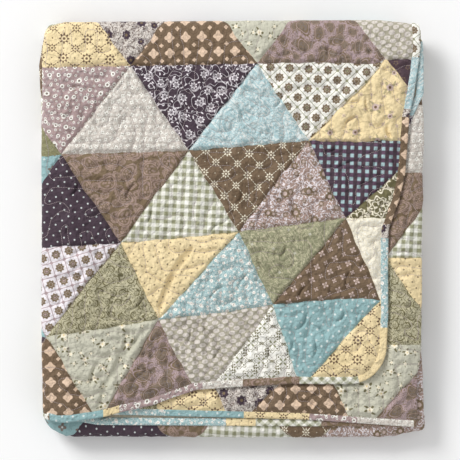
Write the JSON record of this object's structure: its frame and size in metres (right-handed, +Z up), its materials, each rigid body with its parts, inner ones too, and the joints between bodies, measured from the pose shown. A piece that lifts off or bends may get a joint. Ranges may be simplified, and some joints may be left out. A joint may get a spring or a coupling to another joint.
{
  "type": "patchwork quilt",
  "caption": "Folded patchwork quilt of printed triangles, quilted all over in small curves, with a scrappy binding and rounded corners, for a shelf or the end of a bed.",
  "frame": {"origin": "centre of the bounding box at its base, on the surface that the folded quilt rests on", "axes": "+Z up through the folded layers, +X towards the side with the bound edges, +Y towards the first fold of the strip, away from the quilt's end"},
  "size_m": [0.5996, 0.6492, 0.0534],
  "materials": {
    "quilt_cloth": "matte quilted cotton patchwork",
    "edge_binding": "matte cotton binding in pieced prints"
  },
  "bodies": {
    "root": {"quilt_cloth": "quilt_cloth", "edge_binding": "edge_binding"}
  },
  "joints": []
}
